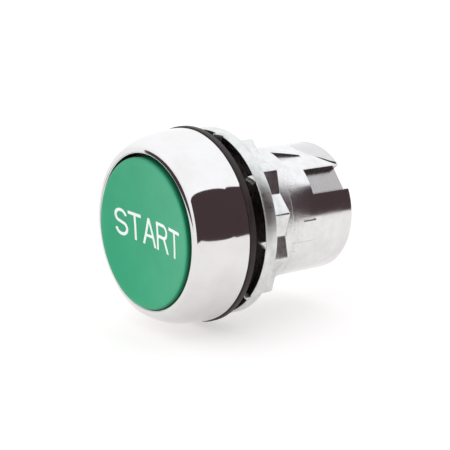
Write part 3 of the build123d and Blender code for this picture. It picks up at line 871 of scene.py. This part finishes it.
def make_barrel():
    """Chromed barrel: head cup, neck, threaded run, collar, and the sleeve with its coupling features."""
    angles = barrel_columns()

    def circle(radius):
        return np.full_like(angles, radius)

    boss_r, head_r, well_r, shoulder_r = 11.4, 13.3, 11.7, 7.7
    head_front, well_floor, back = BARREL_LOW.y, -2.4, GASKET_LOW.y
    head = rounded([
        (shoulder_r, back, 0.1), (shoulder_r, well_floor, 0.1), (well_r, well_floor, 0.2),
        (well_r, head_front, 0.1), (head_r, head_front, 0.1), (head_r, back, 0.1), (boss_r, back, 0.05),
        (boss_r, -0.05, 0.05), (NECK_R, -0.05, 0.03)], 3)
    rows = [(circle(r), y) for r, y in head]
    for y in list(np.arange(NECK_END, 8.6, 0.055)) + list(np.arange(8.6, THREAD_END - 0.3, 0.25)):
        rows.append((np.minimum(thread_radius(y, angles), NECK_R), y))
    collar_end = THREAD_END - 0.02
    for t in np.linspace(0, 1, 6):
        rows.append((circle(THREAD_R - 0.22 * t ** 2), collar_end - 0.24 * (1 - t)))
    for height, run in ((0.1, 0), (-UNDERCUT, 0.03), (-UNDERCUT, 0.22), (-0.04, 0.38)):
        rows.append((circle(SLEEVE_R + height), THREAD_END + run))
    end_round = 0.28
    sleeve = np.concatenate([np.arange(THREAD_END + 0.5, 16.8, 0.4),
                             np.arange(16.8, BARREL_END - end_round - 0.05, 0.08)])
    rows += [(sleeve_radius(y, angles), y) for y in sleeve]
    for t in np.linspace(0, math.pi / 2, 6):
        y = BARREL_END - end_round * (1 - math.sin(t))
        rows.append((circle(SLEEVE_R - end_round * (1 - math.cos(t))), y))
    for t in np.linspace(0, math.pi / 2, 5):
        rows.append((circle(BORE_R + 0.25 * (1 - math.sin(t))), BARREL_END - 0.25 * (1 - math.cos(t))))
    clip_groove = rounded([(BORE_R, 9.02, 0.03), (BORE_R + 0.5, 9.02, 0.03), (BORE_R + 0.5, 7.98, 0.03),
                           (BORE_R, 7.98, 0.03)], 2)
    rows += [(circle(r), y) for r, y in clip_groove]
    rows += [(circle(BORE_R), back)]
    verts = around(np.array([r for r, _ in rows]), np.array([y for _, y in rows]), angles)
    cutters = [nick_cutter(NICK_AT)]
    for turn in (0, 180):
        cutters += [slot_cutter(SLOT_AT + turn), pocket_cutter(POCKET_AT + turn)]
    return add_piece("barrel_casting", verts, grid_faces(len(rows), len(angles), True), "head",
                     MATERIALS["barrel_chrome"], 35, ("barrel",), cutters)


# ------------------------------------------------------------------ spring and seal
def make_spring():
    """Compression spring of round wire with closed ends."""
    wire, coil_r, turns, per_turn, around_wire = 0.9, 5.55, 7.5, 40, 12
    start, end = SPRING_LOW.y + wire / 2, SPRING_HIGH.y - wire / 2
    count = int(turns * per_turn)
    verts, faces = [], []
    for n in range(count + 1):
        t = n / count
        lift = step(np.array(t), 1.0) * 0.35 + 0.65 * np.clip((t - 0.1) / 0.8, 0, 1)
        angle = t * turns * TAU
        for k in range(around_wire):
            b = k * TAU / around_wire
            r = coil_r + wire / 2 * math.cos(b)
            y = start + (end - start) * float(lift) + wire / 2 * math.sin(b)
            verts.append((r * math.cos(angle), y, r * math.sin(angle)))
    for n in range(count):
        for k in range(around_wire):
            m = (k + 1) % around_wire
            a, b = n * around_wire, (n + 1) * around_wire
            faces.append((a + k, b + k, b + m, a + m))
    faces.append(tuple(reversed(range(around_wire))))
    faces.append(tuple(count * around_wire + k for k in range(around_wire)))
    spring = add_piece("coil_spring", verts, faces, "head", MATERIALS["spring_steel"], 60,
                       ("return_spring",))
    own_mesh(spring)
    return spring


def make_seal():
    """Hat-shaped rubber seal with a rolled wall."""
    bead_r, neck_r, front, rear = SEAL_HIGH.x, 4.52, SEAL_LOW.y, SEAL_HIGH.y
    outline = rounded([
        (neck_r, front, 0.1), (6.6, front, 0.5), (7.2, front + 0.7, 0.5), (6.95, front + 2.6, 0.8),
        (7.2, front + 4.4, 0.6), (7.2, rear - 0.72, 0.1), (bead_r, rear - 0.72, 0.15), (bead_r, rear, 0.15),
        (6.75, rear, 0.15), (6.75, front + 4.4, 0.6), (6.45, front + 2.6, 0.8), (6.75, front + 0.9, 0.4),
        (6.4, front + 0.58, 0.3), (neck_r, front + 0.58, 0.1)])
    seal = lathe("rolling_seal", outline, "head", MATERIALS["seal_rubber"], 128, 50,
                 ("diaphragm_seal",))
    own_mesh(seal)
    return seal


# ------------------------------------------------------------------ room, lights, camera
def make_floor():
    """Plain pale floor just under the object, lit a little from within to keep the shadow faint."""
    z = CAD_BOX[0].z - 0.0004
    left, right, front, rear = -1.5, 0.156, -0.09, 1.5
    mesh = bpy.data.meshes.new("floor")
    corners = [(left, front, z), (right, front, z), (right, rear, z), (left, rear, z)]
    mesh.from_pydata(corners, [], [(0, 1, 2, 3)])
    material = bpy.data.materials.new("floor")
    material.use_nodes = True
    shader = material.node_tree.nodes["Principled BSDF"]
    shader.inputs["Base Color"].default_value = (0.5, 0.49, 0.485, 1)
    shader.inputs["Emission Color"].default_value = (1.0, 0.98, 0.975, 1)
    shader.inputs["Emission Strength"].default_value = 0.57
    shader.inputs["Roughness"].default_value = 0.9
    shader.inputs["Specular IOR Level"].default_value = 0.1
    mesh.materials.append(material)
    floor = bpy.data.objects.new("floor", mesh)
    bpy.context.scene.collection.objects.link(floor)


def area_light(name, direction, distance, size, power, color=(1, 1, 1)):
    light = bpy.data.lights.new(name, "AREA")
    light.shape = "RECTANGLE"
    light.size, light.size_y = size
    light.energy = power
    light.color = color
    obj = bpy.data.objects.new(name, light)
    obj.location = Vector(direction).normalized() * distance
    obj.rotation_mode = "QUATERNION"
    obj.rotation_quaternion = (-obj.location).to_track_quat("-Z", "Y")
    obj.visible_glossy = False
    bpy.context.scene.collection.objects.link(obj)
    return obj


def make_world():
    """White studio, white to the camera. Two dark zones show in the chrome: the open right side, and a small
    stand at the front left."""
    world = bpy.data.worlds.new("studio")
    bpy.context.scene.world = world
    world.use_nodes = True
    tree = world.node_tree
    tree.nodes.clear()
    new, link = tree.nodes.new, tree.links.new

    def ramp(value, low, high):
        made = new("ShaderNodeMapRange")
        made.interpolation_type = "SMOOTHSTEP"
        for socket, number in zip(MAP_RANGE_SOCKETS, (low, high, 0.0, 1.0)):
            made.inputs[socket].default_value = number
        link(value, made.inputs["Value"])
        return made.outputs["Result"]

    def times(a, b):
        made = new("ShaderNodeMath")
        made.operation = "MULTIPLY"
        link(a, made.inputs[0])
        link(b, made.inputs[1])
        return made.outputs[0]

    place = new("ShaderNodeTexCoord")
    split = new("ShaderNodeSeparateXYZ")
    link(place.outputs["Generated"], split.inputs["Vector"])
    def above(cx, cy, cz, softness):
        """1 on the side of a plane through the middle that this direction points to, 0 on the other."""
        dot = new("ShaderNodeVectorMath")
        dot.operation = "DOT_PRODUCT"
        link(place.outputs["Generated"], dot.inputs[0])
        dot.inputs[1].default_value = Vector((cx, cy, cz)).normalized()
        return ramp(dot.outputs["Value"], -softness, softness)

    def stretch(start, end, start_softness, end_softness):
        """1 between two directions given in degrees from +X towards +Y."""
        a, b = math.radians(start), math.radians(end)
        return times(above(math.cos(a), math.sin(a), 0, start_softness),
                     above(-math.cos(b), -math.sin(b), 0, end_softness))

    dark_side = stretch(28, 162, 0.03, 0.05)
    dark_side = times(dark_side, above(1.19, 0, -1, 0.008))
    stand = stretch(-54, -24, 0.01, 0.02)
    stand_rise = 0.16
    stand = times(stand, times(above(0, -stand_rise, -1, 0.02), above(0, -stand_rise, 1, 0.02)))
    stand = times(stand, above(0, -1, 0, 0.01))
    darkness = new("ShaderNodeMath")
    darkness.operation = "MAXIMUM"
    link(dark_side, darkness.inputs[0])
    link(stand, darkness.inputs[1])
    height = ramp(split.outputs["Z"], -0.1, 0.9)
    white = new("ShaderNodeMix")
    white.data_type = "RGBA"
    link(height, white.inputs["Factor"])
    white.inputs["A"].default_value = (1.12, 1.13, 1.14, 1)
    white.inputs["B"].default_value = (1.27, 1.29, 1.31, 1)
    sky = new("ShaderNodeMix")
    sky.data_type = "RGBA"
    link(darkness.outputs[0], sky.inputs["Factor"])
    link(white.outputs["Result"], sky.inputs["A"])
    sky.inputs["B"].default_value = (0.072, 0.048, 0.054, 1)
    seen = new("ShaderNodeLightPath")
    pick = new("ShaderNodeMix")
    pick.data_type = "RGBA"
    link(seen.outputs["Is Camera Ray"], pick.inputs["Factor"])
    link(sky.outputs["Result"], pick.inputs["A"])
    pick.inputs["B"].default_value = (1.0, 1.0, 1.0, 1)
    background = new("ShaderNodeBackground")
    background.inputs["Strength"].default_value = 1.0
    link(pick.outputs["Result"], background.inputs["Color"])
    output = new("ShaderNodeOutputWorld")
    link(background.outputs["Background"], output.inputs["Surface"])


def make_lights():
    area_light("softbox", (0.4, -0.1, 1.0), 1.0, (1.1, 1.1), 0.7, (0.97, 0.98, 1.0))


def make_camera():
    """Camera at the view of a product shot: from the front right, a little above."""
    azimuth, elevation, distance = math.radians(52.19), math.radians(12.83), 0.19146
    aim = Vector((3.23, 2.73, -0.06)) * MM
    back = Vector((math.sin(azimuth) * math.cos(elevation), -math.cos(azimuth) * math.cos(elevation),
                   math.sin(elevation)))
    camera = bpy.data.cameras.new("camera")
    camera.lens, camera.sensor_width = 102.29, 36
    camera.clip_start, camera.clip_end = 0.01, 20
    obj = bpy.data.objects.new("camera", camera)
    obj.location = aim + back * distance
    obj.rotation_mode = "QUATERNION"
    obj.rotation_quaternion = (-back).to_track_quat("-Z", "Y")
    bpy.context.scene.collection.objects.link(obj)
    bpy.context.scene.camera = obj


refinish_cad_nodes()
make_bezel()
make_cap()
make_legend()
make_gasket()
make_nut()
make_barrel()
make_spring()
make_seal()
make_floor()
make_world()
make_lights()
make_camera()
bpy.context.scene.view_settings.view_transform = "Standard"
bpy.context.scene.cycles.use_denoising = True
